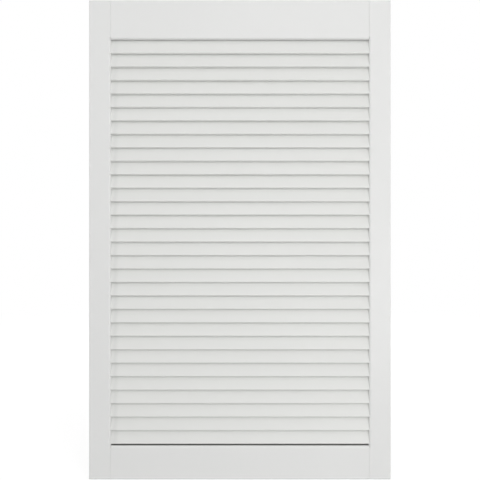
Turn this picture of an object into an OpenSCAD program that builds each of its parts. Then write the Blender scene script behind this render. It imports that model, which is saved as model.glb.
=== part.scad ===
// Louvred cupboard door: two full-height stiles, two rails dowelled between them, and
// a closed row of fixed slats, each leaning behind the one above it, whose ends sit in
// stopped slots in the stiles.
// X runs across the door, Y through it with the face side towards -Y, and Z is up.
// The origin is at the middle of the door's foot.

/* [Door] */
// Overall width
door_w = 594; // [300:1:1000]
// Overall height
door_h = 943.5; // [400:0.5:1100]
// Overall thickness
door_t = 21; // [19:0.5:40]

/* [Frame] */
// Width of each stile
stile_w = 42.5; // [34:0.5:100]
// Height of the top rail, measured on its face
top_rail_h = 76.5; // [55:0.5:150]
// Height of the bottom rail, measured on its face
bottom_rail_h = 66.5; // [55:0.5:150]
// Height of the bottom rail's shoulder behind the bottom slat
shoulder_h = 8; // [3:0.5:12]
// Radius of the edges round the outside of the door
outer_edge_r = 2; // [0.5:0.25:5]
// Radius of the edges round the opening on the face
opening_edge_r = 4; // [1:0.25:5]
// Radius of the edges round the opening on the back
back_edge_r = 2; // [0.5:0.25:2]
// Radius of the edges at the rail joints and at the groove
small_edge_r = 0.75; // [0.25:0.25:1]

/* [Slats] */
// Width of a slat
slat_w = 32.5; // [30:0.5:36]
// Thickness of a slat, which is also the width of its slot
slat_t = 5.75; // [4.5:0.25:6.5]
// Radius of a slat's four long edges
slat_edge_r = 1.75; // [0.5:0.25:2]
// Lean of the slats from upright
slat_angle = 16; // [15:0.5:20]
// Depth of the slats' lower edges behind the face of the door
slat_setback = 1.5; // [1:0.25:3]
// Least height by which one slat covers the next
slat_cover = 5; // [3:0.25:7]
// Length of a slat's end inside its slot
slat_seat = 9; // [4:0.5:20]
// Height by which the top slat stands up in the top rail's groove
slat_tuck = 3.75; // [3:0.25:6]
// Gap between a rail and the slat beside it
rail_gap = 2.5; // [1:0.25:3]
// Clearance round a slat's end in its slot
slot_clearance = 0.15; // [0.05:0.05:0.4]

/* [Dowels] */
// Diameter of the dowels
dowel_d = 8; // [6:0.5:12]
// Length of the dowels
dowel_l = 50; // [24:1:60]
// Distance between the two dowels of a joint
dowel_spacing = 36; // [20:1:44]
// Chamfer at each end of a dowel
dowel_chamfer = 1; // [0.25:0.25:2]
// Clearance round a dowel in its hole
dowel_clearance = 0.1; // [0.05:0.05:0.3]
// Room for glue at the bottom of each dowel hole
glue_room = 0.8; // [0.5:0.1:3]

/* [Hidden] */
// Facets of a full turn
$fn = 64;
// Overrun of a cutting shape past the face that it opens
overrun = 1;

// The opening between the stiles and between the rails' faces
opening_w = door_w - 2 * stile_w;
opening_bottom_z = bottom_rail_h;
opening_top_z = door_h - top_rail_h;

// The height and the depth that a leaning slat takes up
slat_flat_w = slat_w - 2 * slat_edge_r;
slat_flat_t = slat_t - 2 * slat_edge_r;
slat_h = slat_flat_w * cos(slat_angle) + slat_flat_t * sin(slat_angle) + 2 * slat_edge_r;
slat_depth = slat_flat_w * sin(slat_angle) + slat_flat_t * cos(slat_angle) + 2 * slat_edge_r;
slat_mid = slat_setback + slat_depth / 2;
slat_l = opening_w + 2 * slat_seat;

// The top slat stands up in the top rail's groove and the bottom one hangs in front of
// the bottom rail's shoulder, and the pitch between them keeps at least the wanted cover
top_slat_z = opening_top_z + slat_tuck - slat_h / 2;
bottom_slat_z = opening_bottom_z + rail_gap + slat_h / 2;
slat_run = top_slat_z - bottom_slat_z;
slat_count = ceil(slat_run / (slat_h - slat_cover)) + 1;
slat_pitch = slat_run / (slat_count - 1);

// The top rail's groove, whose lip ends a gap short of the top slat's face at the mouth
slat_back = slat_setback + slat_depth;
mouth_rise = slat_h / 2 - slat_tuck;
top_face = slat_mid + (mouth_rise * sin(slat_angle) - slat_t / 2) / cos(slat_angle);
lip_t = top_face - rail_gap;
groove_w = slat_back + rail_gap - lip_t;
groove_depth = slat_tuck + rail_gap;

// The foot of the bottom rail's shoulder, whose front leans along behind the bottom slat
foot_drop = slat_h / 2 + rail_gap;
shoulder_foot = slat_mid + (slat_t / 2 + rail_gap - foot_drop * sin(slat_angle)) / cos(slat_angle);
shoulder_lean = shoulder_h * tan(slat_angle);

// Each dowel hole runs half its length into the stile and half into the rail
dowel_hole_l = dowel_l + 2 * glue_room;

// The four joints between rails and stiles, each as its name, side and mid height, which
// at the top is that of the solid wood above the groove
top_joint_z = door_h - (top_rail_h - groove_depth) / 2;
JOINTS = [
    ["top_left", -1, top_joint_z],
    ["top_right", 1, top_joint_z],
    ["bottom_left", -1, bottom_rail_h / 2],
    ["bottom_right", 1, bottom_rail_h / 2],
];

// The two dowels of each joint, each as its node's name, side and height
DOWELS = [
    for (joint = JOINTS, level = [["upper", 1], ["lower", -1]])
        [str(joint[0], "_", level[0], "_dowel"), joint[1], joint[2] + level[1] * dowel_spacing / 2],
];

function slat_name(i) = str("slat_", i < 10 ? "0" : "", i);
function slat_z(i) = top_slat_z - (i - 1) * slat_pitch;

// What the edge easing takes off a square corner at the origin
module corner_waste(r) {
    difference() {
        translate([-overrun, -overrun]) square(r + overrun);
        translate([r, r]) circle(r);
    }
}

// Eases square corners of a drawing, each given as its x, y, turn and radius
module ease_corners(corners) {
    difference() {
        children();
        for (corner = corners)
            translate([corner[0], corner[1]]) rotate(corner[2]) corner_waste(corner[3]);
    }
}

// A rectangle whose corners are eased by their own radii, anticlockwise from the origin
module eased_rectangle(w, h, radii) {
    ease_corners([
        [0, 0, 0, radii[0]],
        [w, 0, 90, radii[1]],
        [w, h, 180, radii[2]],
        [0, h, 270, radii[3]],
    ])
        square([w, h]);
}

// Carries a drawing of the YZ plane along X, from 0 to the given length
module along_x(length) {
    rotate([90, 0, 90]) linear_extrude(length) children();
}

// A slat's section with eased edges, leaning back as it rises
module slat_section(clearance = 0) {
    w = slat_w + 2 * clearance;
    t = slat_t + 2 * clearance;
    r = slat_edge_r + clearance;
    translate([slat_mid - door_t / 2, 0])
        rotate(-slat_angle)
            translate([-t / 2, -w / 2]) eased_rectangle(t, w, [r, r, r, r]);
}

// The slots that one stile's inner edge, at x = 0, has for the slats' ends
module slat_slots() {
    depth = slat_seat + slot_clearance;
    for (i = [1:slat_count])
        translate([-depth, 0, slat_z(i)])
            along_x(depth + overrun) slat_section(slot_clearance);
}

// The dowel holes of one side of the door, each half in the stile and half in the rail
module dowel_holes(side) {
    for (dowel = DOWELS)
        if (dowel[1] == side)
            translate([side * opening_w / 2, 0, dowel[2]])
                rotate([0, 90, 0])
                    cylinder(d = dowel_d + 2 * dowel_clearance, h = dowel_hole_l, center = true);
}

// The round-overs of the left stile's inner edge, on the face and on the back, which run
// along the opening and end level with the rails' own
module opening_edges() {
    shoulder_z = opening_bottom_z + shoulder_h;
    for (edge = [[-1, 90, opening_edge_r, opening_bottom_z], [1, 180, back_edge_r, shoulder_z]]) {
        r = edge[2];
        foot_z = edge[3] - r;
        translate([-opening_w / 2, edge[0] * door_t / 2, foot_z])
            linear_extrude(opening_top_z + r - foot_z) rotate(edge[1]) corner_waste(r);
    }
}

// The left stile before it is shaped along the opening
module stile_blank() {
    translate([-door_w / 2, -door_t / 2, 0])
        intersection() {
            linear_extrude(door_h)
                eased_rectangle(stile_w, door_t, [outer_edge_r, small_edge_r, small_edge_r, outer_edge_r]);
            along_x(stile_w)
                eased_rectangle(door_t, door_h, [outer_edge_r, outer_edge_r, outer_edge_r, outer_edge_r]);
        }
}

module stile() {
    difference() {
        stile_blank();
        opening_edges();
        translate([-opening_w / 2, 0, 0]) slat_slots();
        dowel_holes(-1);
    }
}

module left_stile() {
    color("whitesmoke") stile();
}

module right_stile() {
    color("whitesmoke") mirror([1, 0, 0]) stile();
}

// Carries a rail's section between the stiles and eases it lightly at its two ends
module rail_blank(h) {
    intersection() {
        translate([-opening_w / 2, -door_t / 2, 0]) along_x(opening_w) children();
        translate([-opening_w / 2, -door_t / 2, 0])
            linear_extrude(h)
                eased_rectangle(opening_w, door_t, [small_edge_r, small_edge_r, small_edge_r, small_edge_r]);
    }
}

// The bottom rail's section, with the shoulder that closes the gap behind the bottom slat
module bottom_rail_section() {
    full_h = bottom_rail_h + shoulder_h;
    ease_corners([
        [0, 0, 0, outer_edge_r],
        [door_t, 0, 90, outer_edge_r],
        [door_t, full_h, 180, back_edge_r],
        [0, bottom_rail_h, 270, opening_edge_r],
    ])
        polygon([
            [0, 0],
            [door_t, 0],
            [door_t, full_h],
            [shoulder_foot + shoulder_lean, full_h],
            [shoulder_foot, bottom_rail_h],
            [0, bottom_rail_h],
        ]);
}

// The top rail's section upside down, with the groove that takes the top slat's edge
module top_rail_section() {
    ease_corners([
        [0, 0, 0, outer_edge_r],
        [door_t, 0, 90, outer_edge_r],
        [door_t, top_rail_h, 180, back_edge_r],
        [lip_t + groove_w, top_rail_h, 270, small_edge_r],
        [lip_t, top_rail_h, 180, small_edge_r],
        [0, top_rail_h, 270, opening_edge_r],
    ])
        difference() {
            square([door_t, top_rail_h]);
            translate([lip_t, top_rail_h - groove_depth]) square([groove_w, groove_depth + overrun]);
        }
}

module bottom_rail() {
    color("whitesmoke")
        difference() {
            rail_blank(bottom_rail_h + shoulder_h) bottom_rail_section();
            dowel_holes(-1);
            dowel_holes(1);
        }
}

module top_rail() {
    color("whitesmoke")
        difference() {
            translate([0, 0, door_h]) mirror([0, 0, 1]) rail_blank(top_rail_h) top_rail_section();
            dowel_holes(-1);
            dowel_holes(1);
        }
}

module slat(i) {
    color("whitesmoke")
        translate([-slat_l / 2, 0, slat_z(i)]) along_x(slat_l) slat_section();
}

// A dowel across the joint, with its ends chamfered to start in the holes
module dowel(side, z) {
    r = dowel_d / 2;
    color("burlywood")
        translate([side * opening_w / 2 - dowel_l / 2, 0, z])
            rotate([0, 90, 0])
                rotate_extrude()
                    polygon([
                        [0, 0],
                        [r - dowel_chamfer, 0],
                        [r, dowel_chamfer],
                        [r, dowel_l - dowel_chamfer],
                        [r - dowel_chamfer, dowel_l],
                        [0, dowel_l],
                    ]);
}

left_stile();
right_stile();
top_rail();
bottom_rail();
for (d = DOWELS)
    dowel(d[1], d[2]);
for (i = [1:slat_count])
    slat(i);
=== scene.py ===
import math
import bpy
import numpy as np
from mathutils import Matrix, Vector


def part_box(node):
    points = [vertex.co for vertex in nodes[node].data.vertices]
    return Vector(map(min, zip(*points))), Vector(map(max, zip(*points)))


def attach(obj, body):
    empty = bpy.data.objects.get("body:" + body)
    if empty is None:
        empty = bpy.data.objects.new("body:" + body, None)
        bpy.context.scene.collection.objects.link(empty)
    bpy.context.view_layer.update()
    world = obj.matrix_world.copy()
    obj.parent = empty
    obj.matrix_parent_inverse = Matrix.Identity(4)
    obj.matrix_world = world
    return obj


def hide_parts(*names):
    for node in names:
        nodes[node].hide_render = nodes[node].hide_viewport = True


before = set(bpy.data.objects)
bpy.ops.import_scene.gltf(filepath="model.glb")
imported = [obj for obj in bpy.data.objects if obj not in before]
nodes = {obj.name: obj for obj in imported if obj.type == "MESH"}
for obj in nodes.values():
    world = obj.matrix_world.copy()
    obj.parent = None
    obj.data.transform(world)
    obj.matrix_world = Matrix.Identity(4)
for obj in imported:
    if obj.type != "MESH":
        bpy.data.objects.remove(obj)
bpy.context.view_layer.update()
scene = bpy.context.scene

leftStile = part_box("left_stile")
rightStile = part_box("right_stile")
faceY = leftStile[0].y  # the face side looks towards -Y
doorMiddle = (leftStile[0] + rightStile[1]) / 2
doorWidth = rightStile[1].x - leftStile[0].x
print("frame loaded,", len(nodes), "nodes")


# Camera

view = {
    "frameSide": 480,        # pixels
    "doorLeft": 89.17,       # the door's outline in the photograph, in its pixels
    "doorRight": 390.62,
    "doorTop": 0.47,
    "doorBottom": 479.36,
    "edgeRadius": 0.002,     # metres, the rounding of the door's outer edges
    "distance": 1.30,        # metres from the door's face
    "sensor": 36.0,          # millimetres
    "clipStart": 0.05,       # metres
}


def makeCamera(v):
    # level and square to the door: a sight line of slope s touches the rounded edge
    # radius * (1 + s - sqrt(1 + s * s)) inside the full width, so one pixel is what is left of the
    # width over its pixels, and the lens is sensor times distance over the width of the picture
    slope = doorWidth / 2 / v["distance"]
    hidden = v["edgeRadius"] * (1 + slope - math.hypot(1, slope))
    metresPerPixel = (doorWidth - 2 * hidden) / (v["doorRight"] - v["doorLeft"])
    shiftX = v["frameSide"] / 2 - (v["doorLeft"] + v["doorRight"]) / 2
    shiftZ = (v["doorTop"] + v["doorBottom"]) / 2 - v["frameSide"] / 2
    data = bpy.data.cameras.new("photoCamera")
    data.sensor_width = v["sensor"]
    data.lens = v["sensor"] * v["distance"] / (v["frameSide"] * metresPerPixel)
    data.clip_start = v["clipStart"]
    camera = bpy.data.objects.new("photoCamera", data)
    camera.location = (
        doorMiddle.x + shiftX * metresPerPixel,
        faceY - v["distance"],
        doorMiddle.z + shiftZ * metresPerPixel,
    )
    camera.rotation_euler = (math.pi / 2, 0, 0)
    scene.collection.objects.link(camera)
    scene.camera = camera
    print("camera set, lens", round(data.lens, 1), "mm")


makeCamera(view)


# Shader nodes that the floor, the surroundings and the finishes share

def maths(tree, operation, *values):
    # sockets are linked and plain numbers are set
    node = tree.nodes.new("ShaderNodeMath")
    node.operation = operation
    for socket, value in zip(node.inputs, values):
        if isinstance(value, bpy.types.NodeSocket):
            tree.links.new(value, socket)
        else:
            socket.default_value = value
    return node.outputs[0]


def ramp(tree, source, low, high, toLow=0.0, toHigh=1.0, eased=False):
    # low to high becomes toLow to toHigh, along a straight line or one eased at both ends
    node = tree.nodes.new("ShaderNodeMapRange")
    if eased:
        node.interpolation_type = "SMOOTHSTEP"
    ends = {"From Min": low, "From Max": high, "To Min": toLow, "To Max": toHigh}
    for name, value in ends.items():
        node.inputs[name].default_value = value
    tree.links.new(source, node.inputs["Value"])
    return node.outputs["Result"]


def axesOf(tree, coords):
    # the sockets X, Y and Z of the coordinates
    node = tree.nodes.new("ShaderNodeSeparateXYZ")
    tree.links.new(coords, node.inputs[0])
    return node.outputs


def mixShaders(tree, factor, first, second):
    # the first where the factor is 0 and the second where it is 1
    node = tree.nodes.new("ShaderNodeMixShader")
    for socket, source in zip(node.inputs, (factor, first, second)):
        tree.links.new(source, socket)
    return node.outputs[0]


# Light and surroundings

studio = {
    "lamps": [                          # degrees to the right of the face and up, metres, watts
        {"name": "rightLight", "right": 40, "up": 0, "away": 2.0, "size": 0.9, "watts": 1.2},
        {"name": "sideLight", "right": 65, "up": 0, "away": 2.0, "size": 0.9, "watts": 1.9},
        {"name": "highLeftLight", "right": -35, "up": 30, "away": 2.0, "size": 0.9, "watts": 1.4},
        {"name": "highLight", "right": 16, "up": 25, "away": 2.0, "size": 0.7, "watts": 2.2},
        {"name": "nearLight", "right": 0, "up": 30, "away": 1.3, "size": 0.4, "watts": 0.5},
        {"name": "topLight", "right": 0, "up": 60, "away": 2.0, "size": 0.9, "watts": 1.0},
        {"name": "lowLight", "right": 20, "up": -8, "away": 2.0, "size": 0.35, "watts": 5.2},
        {"name": "backLight", "right": 170, "up": 4, "away": 3.6, "size": 2.0, "watts": 40.0},
    ],
    "frontLevel": 0.762,                # grey that comes from all round on the face side
    "rearLevel": 0.30,                  # and from behind
    "levelFade": (-0.1, 0.5),           # how far back a direction points, from front to rear level
    "floorColor": (0.80, 0.80, 0.80, 1.0),
    "floorGlow": 0.60,                  # white that the camera sees in the floor
    "floorShade": 0.60,                 # share of the floor's own shading added to that
    "floorSide": 8.0,
    "floorFade": (1.2, 3.2),            # metres from the door over which the floor turns white
}


def areaLight(lamp, middle):
    # a square lamp on a sphere round the door's middle, and its -Z looks back at the middle
    right = math.radians(lamp["right"])
    up = math.radians(lamp["up"])
    level = math.cos(up)
    toLamp = Vector((math.sin(right) * level, -math.cos(right) * level, math.sin(up)))
    data = bpy.data.lights.new(lamp["name"], "AREA")
    data.size = lamp["size"]
    data.energy = lamp["watts"]
    piece = bpy.data.objects.new(lamp["name"], data)
    piece.location = middle + toLamp * lamp["away"]
    piece.rotation_euler = (-toLamp).to_track_quat("-Z", "Y").to_euler()
    piece.visible_camera = False
    scene.collection.objects.link(piece)


def makeWorld(s):
    # the camera, mirrors and glass see white, and everything else is lit by a plain grey that
    # fades from its front level to its rear level across the door's plane
    world = bpy.data.worlds.new("paleStudio")
    scene.world = world
    world.use_nodes = True
    tree = world.node_tree
    tree.nodes.clear()
    toward = tree.nodes.new("ShaderNodeTexCoord").outputs["Generated"]
    level = ramp(tree, axesOf(tree, toward)["Y"], *s["levelFade"], s["frontLevel"], s["rearLevel"])
    grey = tree.nodes.new("ShaderNodeBackground")
    tree.links.new(level, grey.inputs["Strength"])
    white = tree.nodes.new("ShaderNodeBackground")
    white.inputs["Strength"].default_value = 1.0
    for background in (grey, white):
        background.inputs["Color"].default_value = (1, 1, 1, 1)
    rays = tree.nodes.new("ShaderNodeLightPath").outputs
    seen = maths(tree, "MAXIMUM", rays["Is Camera Ray"], rays["Is Glossy Ray"])
    seen = maths(tree, "MAXIMUM", seen, rays["Is Transmission Ray"])
    surface = mixShaders(tree, seen, grey.outputs[0], white.outputs[0])
    tree.links.new(surface, tree.nodes.new("ShaderNodeOutputWorld").inputs["Surface"])


def makeFloor(s):
    # seen directly the floor is a white glow plus a share of its own shading, so that the door's
    # shadow stays in it, and turns plain white with distance; to every other ray it is pale paint
    half = s["floorSide"] / 2
    mesh = bpy.data.meshes.new("floor")
    corners = [(-half, -half, 0), (half, -half, 0), (half, half, 0), (-half, half, 0)]
    mesh.from_pydata(corners, [], [(0, 1, 2, 3)])
    floor = bpy.data.objects.new("floor", mesh)
    scene.collection.objects.link(floor)
    paint = bpy.data.materials.new("floorPaint")
    paint.use_nodes = True
    tree = paint.node_tree
    tree.nodes.clear()
    plain = tree.nodes.new("ShaderNodeBsdfDiffuse")
    plain.inputs["Color"].default_value = s["floorColor"]
    shade = tree.nodes.new("ShaderNodeBsdfDiffuse")
    shade.inputs["Color"].default_value = (*[s["floorShade"]] * 3, 1)
    glow = tree.nodes.new("ShaderNodeEmission")
    glow.inputs["Strength"].default_value = s["floorGlow"]
    both = tree.nodes.new("ShaderNodeAddShader")
    tree.links.new(shade.outputs[0], both.inputs[0])
    tree.links.new(glow.outputs[0], both.inputs[1])
    white = tree.nodes.new("ShaderNodeEmission")
    away = tree.nodes.new("ShaderNodeVectorMath")
    away.operation = "LENGTH"
    tree.links.new(tree.nodes.new("ShaderNodeTexCoord").outputs["Object"], away.inputs[0])
    fade = ramp(tree, away.outputs["Value"], *s["floorFade"], eased=True)
    seen = mixShaders(tree, fade, both.outputs[0], white.outputs[0])
    cameraRay = tree.nodes.new("ShaderNodeLightPath").outputs["Is Camera Ray"]
    surface = mixShaders(tree, cameraRay, plain.outputs[0], seen)
    tree.links.new(surface, tree.nodes.new("ShaderNodeOutputMaterial").inputs["Surface"])
    mesh.materials.append(paint)


def makeStudio(s):
    for lamp in s["lamps"]:
        areaLight(lamp, doorMiddle)
    makeWorld(s)
    makeFloor(s)
    scene.view_settings.view_transform = "Standard"
    print("lights and floor set")


makeStudio(studio)


# Slats

slats = {
    "lean": 16.0,            # degrees back from upright
    "width": 0.0325,         # metres
    "seatThickness": 0.00575,  # of the ends that sit in the slots
    "seatEdge": 0.00175,
    "thickness": 0.0060,     # between the stiles
    "edge": 0.0014,
    "seat": 0.009,           # length of an end in its slot
    "change": 0.001,         # length over which the end's section turns into the middle's
    "stations": 41,          # along the slat
    "crowding": 1.3,         # above 1 they stand closer at the ends
    "arcPoints": 7,          # round each long edge
    "hold": 0.0004,          # from an arc to the point that keeps the flat beside it flat
    "waver": 0.00008,        # metres by which any slat may be out of true
    "bows": {                # metres forward of true at the left, in the middle and at the right
        "slat_01": (0.0003, 0.0003, 0.0001),
        "slat_02": (0.0002, 0.0001, 0.0001),
        "slat_03": (0.0002, 0.0002, 0.0001),
        "slat_06": (0.0002, 0.0006, 0.0001),
        "slat_09": (0.0003, 0.0005, 0.0002),
        "slat_10": (0.0001, 0.0004, 0.0002),
    },
}


def slatProfile(p, thickness, edge):
    # the section's points across the thickness and up the width, one column for each station:
    # corner centre plus edge times (cos, sin) of an angle that turns once round, plus a step
    # along (-sin, cos) that is the hold just before and just after each arc and 0 on it
    turn = np.concatenate([[0], np.linspace(0, np.pi / 2, p["arcPoints"]), [np.pi / 2]])
    step = np.concatenate([[-p["hold"]], np.zeros(p["arcPoints"]), [p["hold"]]])[:, None]
    across, up = [], []
    for quarter, (sideX, sideZ) in enumerate(((1, 1), (-1, 1), (-1, -1), (1, -1))):
        angle = (turn + quarter * np.pi / 2)[:, None]
        across.append(sideX * (thickness / 2 - edge) + edge * np.cos(angle) - step * np.sin(angle))
        up.append(sideZ * (p["width"] / 2 - edge) + edge * np.sin(angle) + step * np.cos(angle))
    return np.concatenate(across), np.concatenate(up)


def tubeMesh(name, grid):
    # rows run round the section and columns along the board, with quads between them and one
    # flat face at each end
    rows, columns = grid.shape[:2]
    a = np.arange(rows)[:, None] * columns + np.arange(columns - 1)
    b = (np.arange(rows)[:, None] + 1) % rows * columns + np.arange(columns - 1)
    faces = np.stack([a, b, b + 1, a + 1], axis=-1).reshape(-1, 4).tolist()
    faces.append((np.arange(rows)[::-1] * columns).tolist())
    faces.append((np.arange(rows) * columns + columns - 1).tolist())
    mesh = bpy.data.meshes.new(name)
    mesh.from_pydata(grid.reshape(-1, 3).tolist(), [], faces)
    smooth = np.ones(len(mesh.polygons), dtype=bool)
    smooth[-2:] = False
    mesh.polygons.foreach_set("use_smooth", smooth)
    return mesh


def slatBoard(name, number, p):
    # the section carried from end to end; the bow is a parabola through its three heights times
    # 1 - s^4, s running from -1 to 1, so that the ends stay in their slots
    low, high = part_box(name)
    middle = (low + high) / 2
    half = (high.x - low.x) / 2
    s = np.linspace(-1, 1, p["stations"])
    s = np.sign(s) * (1 - (1 - np.abs(s)) ** p["crowding"])
    inSlot = np.clip((np.abs(s) * half - (half - p["seat"])) / p["change"], 0, 1)
    thickness = p["thickness"] + inSlot * (p["seatThickness"] - p["thickness"])
    edge = p["edge"] + inSlot * (p["seatEdge"] - p["edge"])
    across, up = slatProfile(p, thickness, edge)
    spread = np.random.default_rng(number).uniform(-p["waver"], p["waver"], 3)
    left, centre, right = np.array(p["bows"].get(name, (0, 0, 0))) + spread
    bow = (centre + (right - left) / 2 * s + ((right + left) / 2 - centre) * s**2) * (1 - s**4)
    across = across - bow
    lean = np.radians(p["lean"])
    grid = np.empty((*across.shape, 3))
    grid[..., 0] = middle.x + s * half
    grid[..., 1] = middle.y + across * np.cos(lean) + up * np.sin(lean)
    grid[..., 2] = middle.z - across * np.sin(lean) + up * np.cos(lean)
    mesh = tubeMesh(name + "_board", grid)
    faceSide = mesh.attributes.new("faceSide", "FLOAT", "POINT")
    faceSide.data.foreach_set("value", (across < 0).astype(np.float32).ravel())
    mesh.update()
    piece = bpy.data.objects.new(name + "_board", mesh)
    scene.collection.objects.link(piece)
    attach(piece, "root")
    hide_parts(name)
    return piece


slatNames = sorted(name for name in nodes if name.startswith("slat_"))
slatBoards = [slatBoard(name, int(name[-2:]), slats) for name in slatNames]
print("slats made,", len(slatBoards))


# Finishes

framePaint = {
    "color": (0.762, 0.764, 0.755),
    "patch": 0.012,          # how far the colour wanders, as a share
    "patchStretch": (9.0, 9.0, 9.0),  # patches to the metre along X, Y and Z
    "patchDetail": 2.0,
    "roughness": 0.42,
    "roughnessSpread": 0.05,
    "grainAcross": 420.0,    # lines of grain to the metre across the board
    "grainAlong": 7.0,       # and along it
    "grainDetail": 3.0,
    "grainHeight": 0.00003,  # metres
    "peelSize": 900.0,       # pimples of the sprayed paint to the metre
    "peelDetail": 1.0,
    "peelHeight": 0.000012,
}
slatPaint = dict(
    framePaint, color=(0.746, 0.751, 0.732), grainAcross=520.0,
    patch=0.02, patchStretch=(1.5, 20.0, 31.0),  # so that each slat has a tone of its own
)
slatEndShadow = {                 # painted shadow of the left stile: a soft dark line down the slats' left ends
    "at": -0.2446,           # metres from the door's middle, halfway through its thickness
    "slant": 0.3,            # metres to the right for each metre of depth
    "halfWidth": 0.0085,
    "share": 0.065,          # taken off the colour
    "faint": 0.5,            # share of that at the row's top
    "heights": (0.86, 0.60),  # metres, from faint to full
}
grooveShade = {                 # painted shade deep in the rails' grooves by the nearest slats: least and most depth and height, metres
    "color": (0.16, 0.16, 0.155),
    "top_rail": {"depth": (-0.0044, 0.0076), "height": (0.8671, 0.8745)},
    "bottom_rail": {"depth": (-0.0066, 0.0006), "height": (0.0655, 0.0738)},
    "fade": 0.0006,
}
dowelWood = {
    "color": (0.56, 0.34, 0.16),
    "dark": (0.42, 0.23, 0.10),
    "roughness": 0.7,
    "grainAcross": 900.0,
    "grainAlong": 30.0,
    "grainDetail": 4.0,
}


def newMaterial(name):
    # the material, its nodes, its shader and its Object coordinates
    material = bpy.data.materials.new(name)
    material.use_nodes = True
    tree = material.node_tree
    coords = tree.nodes.new("ShaderNodeTexCoord").outputs["Object"]
    return material, tree, tree.nodes["Principled BSDF"], coords


def noiseAt(tree, coords, detail, stretch, scale=1.0):
    # a noise pattern on Object coordinates, its three axes scaled apart by stretch
    mapping = tree.nodes.new("ShaderNodeMapping")
    mapping.inputs["Scale"].default_value = stretch
    noise = tree.nodes.new("ShaderNodeTexNoise")
    noise.inputs["Scale"].default_value = scale
    noise.inputs["Detail"].default_value = detail
    tree.links.new(coords, mapping.inputs["Vector"])
    tree.links.new(mapping.outputs["Vector"], noise.inputs["Vector"])
    return noise.outputs["Fac"]


def mixColors(tree, factor, first, second):
    # the first where the factor is 0 and the second where it is 1, each a socket or a plain colour
    node = tree.nodes.new("ShaderNodeMix")
    node.data_type = "RGBA"
    tree.links.new(factor, node.inputs["Factor"])
    for side, color in (("A", first), ("B", second)):
        if isinstance(color, bpy.types.NodeSocket):
            tree.links.new(color, node.inputs[side])
        else:
            node.inputs[side].default_value = (*color, 1)
    return node.outputs["Result"]


def bumpOf(tree, source, height, below=None):
    # a bump of the given height in metres, laid over the one below
    bump = tree.nodes.new("ShaderNodeBump")
    bump.inputs["Distance"].default_value = height
    tree.links.new(source, bump.inputs["Height"])
    if below is not None:
        tree.links.new(below, bump.inputs["Normal"])
    return bump.outputs["Normal"]


def insideBox(tree, coords, box, fade):
    # 1 inside the box of depths and heights, falling to 0 over fade at each of its four sides
    axes = axesOf(tree, coords)
    edges = []
    for axis, (low, high) in (("Y", box["depth"]), ("Z", box["height"])):
        edges.append(ramp(tree, axes[axis], low, low + fade, eased=True))
        edges.append(ramp(tree, axes[axis], high, high - fade, eased=True))
    inside = edges[0]
    for edge in edges[1:]:
        inside = maths(tree, "MULTIPLY", inside, edge)
    return inside


def endShade(tree, coords, e):
    # painted shadow of the left stile on the slats, share * falloff * strength: the falloff is 1
    # where x - slant * y = at and 0 from half width on, and the strength grows down the row and is
    # 0 on the slats' backs
    axes = axesOf(tree, coords)
    slanted = maths(tree, "MULTIPLY_ADD", axes["Y"], -e["slant"], axes["X"])
    away = maths(tree, "ABSOLUTE", maths(tree, "SUBTRACT", slanted, e["at"]))
    falloff = ramp(tree, away, e["halfWidth"], 0, 0, e["share"], eased=True)
    strength = ramp(tree, axes["Z"], *e["heights"], e["faint"], 1)
    front = tree.nodes.new("ShaderNodeAttribute")
    front.attribute_name = "faceSide"
    shade = maths(tree, "MULTIPLY", falloff, strength)
    return maths(tree, "MULTIPLY", shade, front.outputs["Fac"])


def satinPaint(name, p, along, grooveShadeBox=None, ends=None):
    # white paint over planed wood: grain runs along the board's long axis, peel has no direction
    paint, tree, shader, coords = newMaterial(name)
    stretch = [p["grainAlong"] if axis == along else p["grainAcross"] for axis in "XYZ"]
    grain = noiseAt(tree, coords, p["grainDetail"], stretch)
    peel = noiseAt(tree, coords, p["peelDetail"], (1, 1, 1), p["peelSize"])
    patches = noiseAt(tree, coords, p["patchDetail"], p["patchStretch"])
    dark, light = ([c * share for c in p["color"]] for share in (1 - p["patch"], 1 + p["patch"]))
    color = mixColors(tree, patches, dark, light)
    # painted shade: inside the box the rail's colour turns to the dark grey of the grooves
    if grooveShadeBox is not None:
        paintedShade = insideBox(tree, coords, grooveShadeBox, grooveShade["fade"])
        color = mixColors(tree, paintedShade, color, grooveShade["color"])
    # painted shadow of the left stile down the slats' left ends
    if ends is not None:
        color = mixColors(tree, endShade(tree, coords, ends), color, (0, 0, 0))
    tree.links.new(color, shader.inputs["Base Color"])
    smoothest = p["roughness"] - p["roughnessSpread"]
    roughest = p["roughness"] + p["roughnessSpread"]
    tree.links.new(ramp(tree, patches, 0, 1, smoothest, roughest), shader.inputs["Roughness"])
    normal = bumpOf(tree, peel, p["peelHeight"], bumpOf(tree, grain, p["grainHeight"]))
    tree.links.new(normal, shader.inputs["Normal"])
    return paint


def bareWood(name, p):
    # two browns mixed by long streaks
    wood, tree, shader, coords = newMaterial(name)
    stretch = (p["grainAlong"], p["grainAcross"], p["grainAcross"])
    streaks = noiseAt(tree, coords, p["grainDetail"], stretch)
    tree.links.new(mixColors(tree, streaks, p["dark"], p["color"]), shader.inputs["Base Color"])
    shader.inputs["Roughness"].default_value = p["roughness"]
    return wood


def wear(piece, material):
    piece.data.materials.clear()
    piece.data.materials.append(material)


stilePaint = satinPaint("stilePaint", framePaint, "Z")
framePaints = {
    "left_stile": stilePaint,
    "right_stile": stilePaint,
    "top_rail": satinPaint("topRailPaint", framePaint, "X", grooveShade["top_rail"]),
    "bottom_rail": satinPaint("bottomRailPaint", framePaint, "X", grooveShade["bottom_rail"]),
}
louvrePaint = satinPaint("slatPaint", slatPaint, "X", ends=slatEndShadow)
beech = bareWood("dowelBeech", dowelWood)
for name, piece in nodes.items():
    if name in slatNames:
        wear(piece, louvrePaint)
    elif name.endswith("dowel"):
        wear(piece, beech)
    else:
        wear(piece, framePaints[name])
for piece in slatBoards:
    wear(piece, louvrePaint)
print("finishes on the frame")
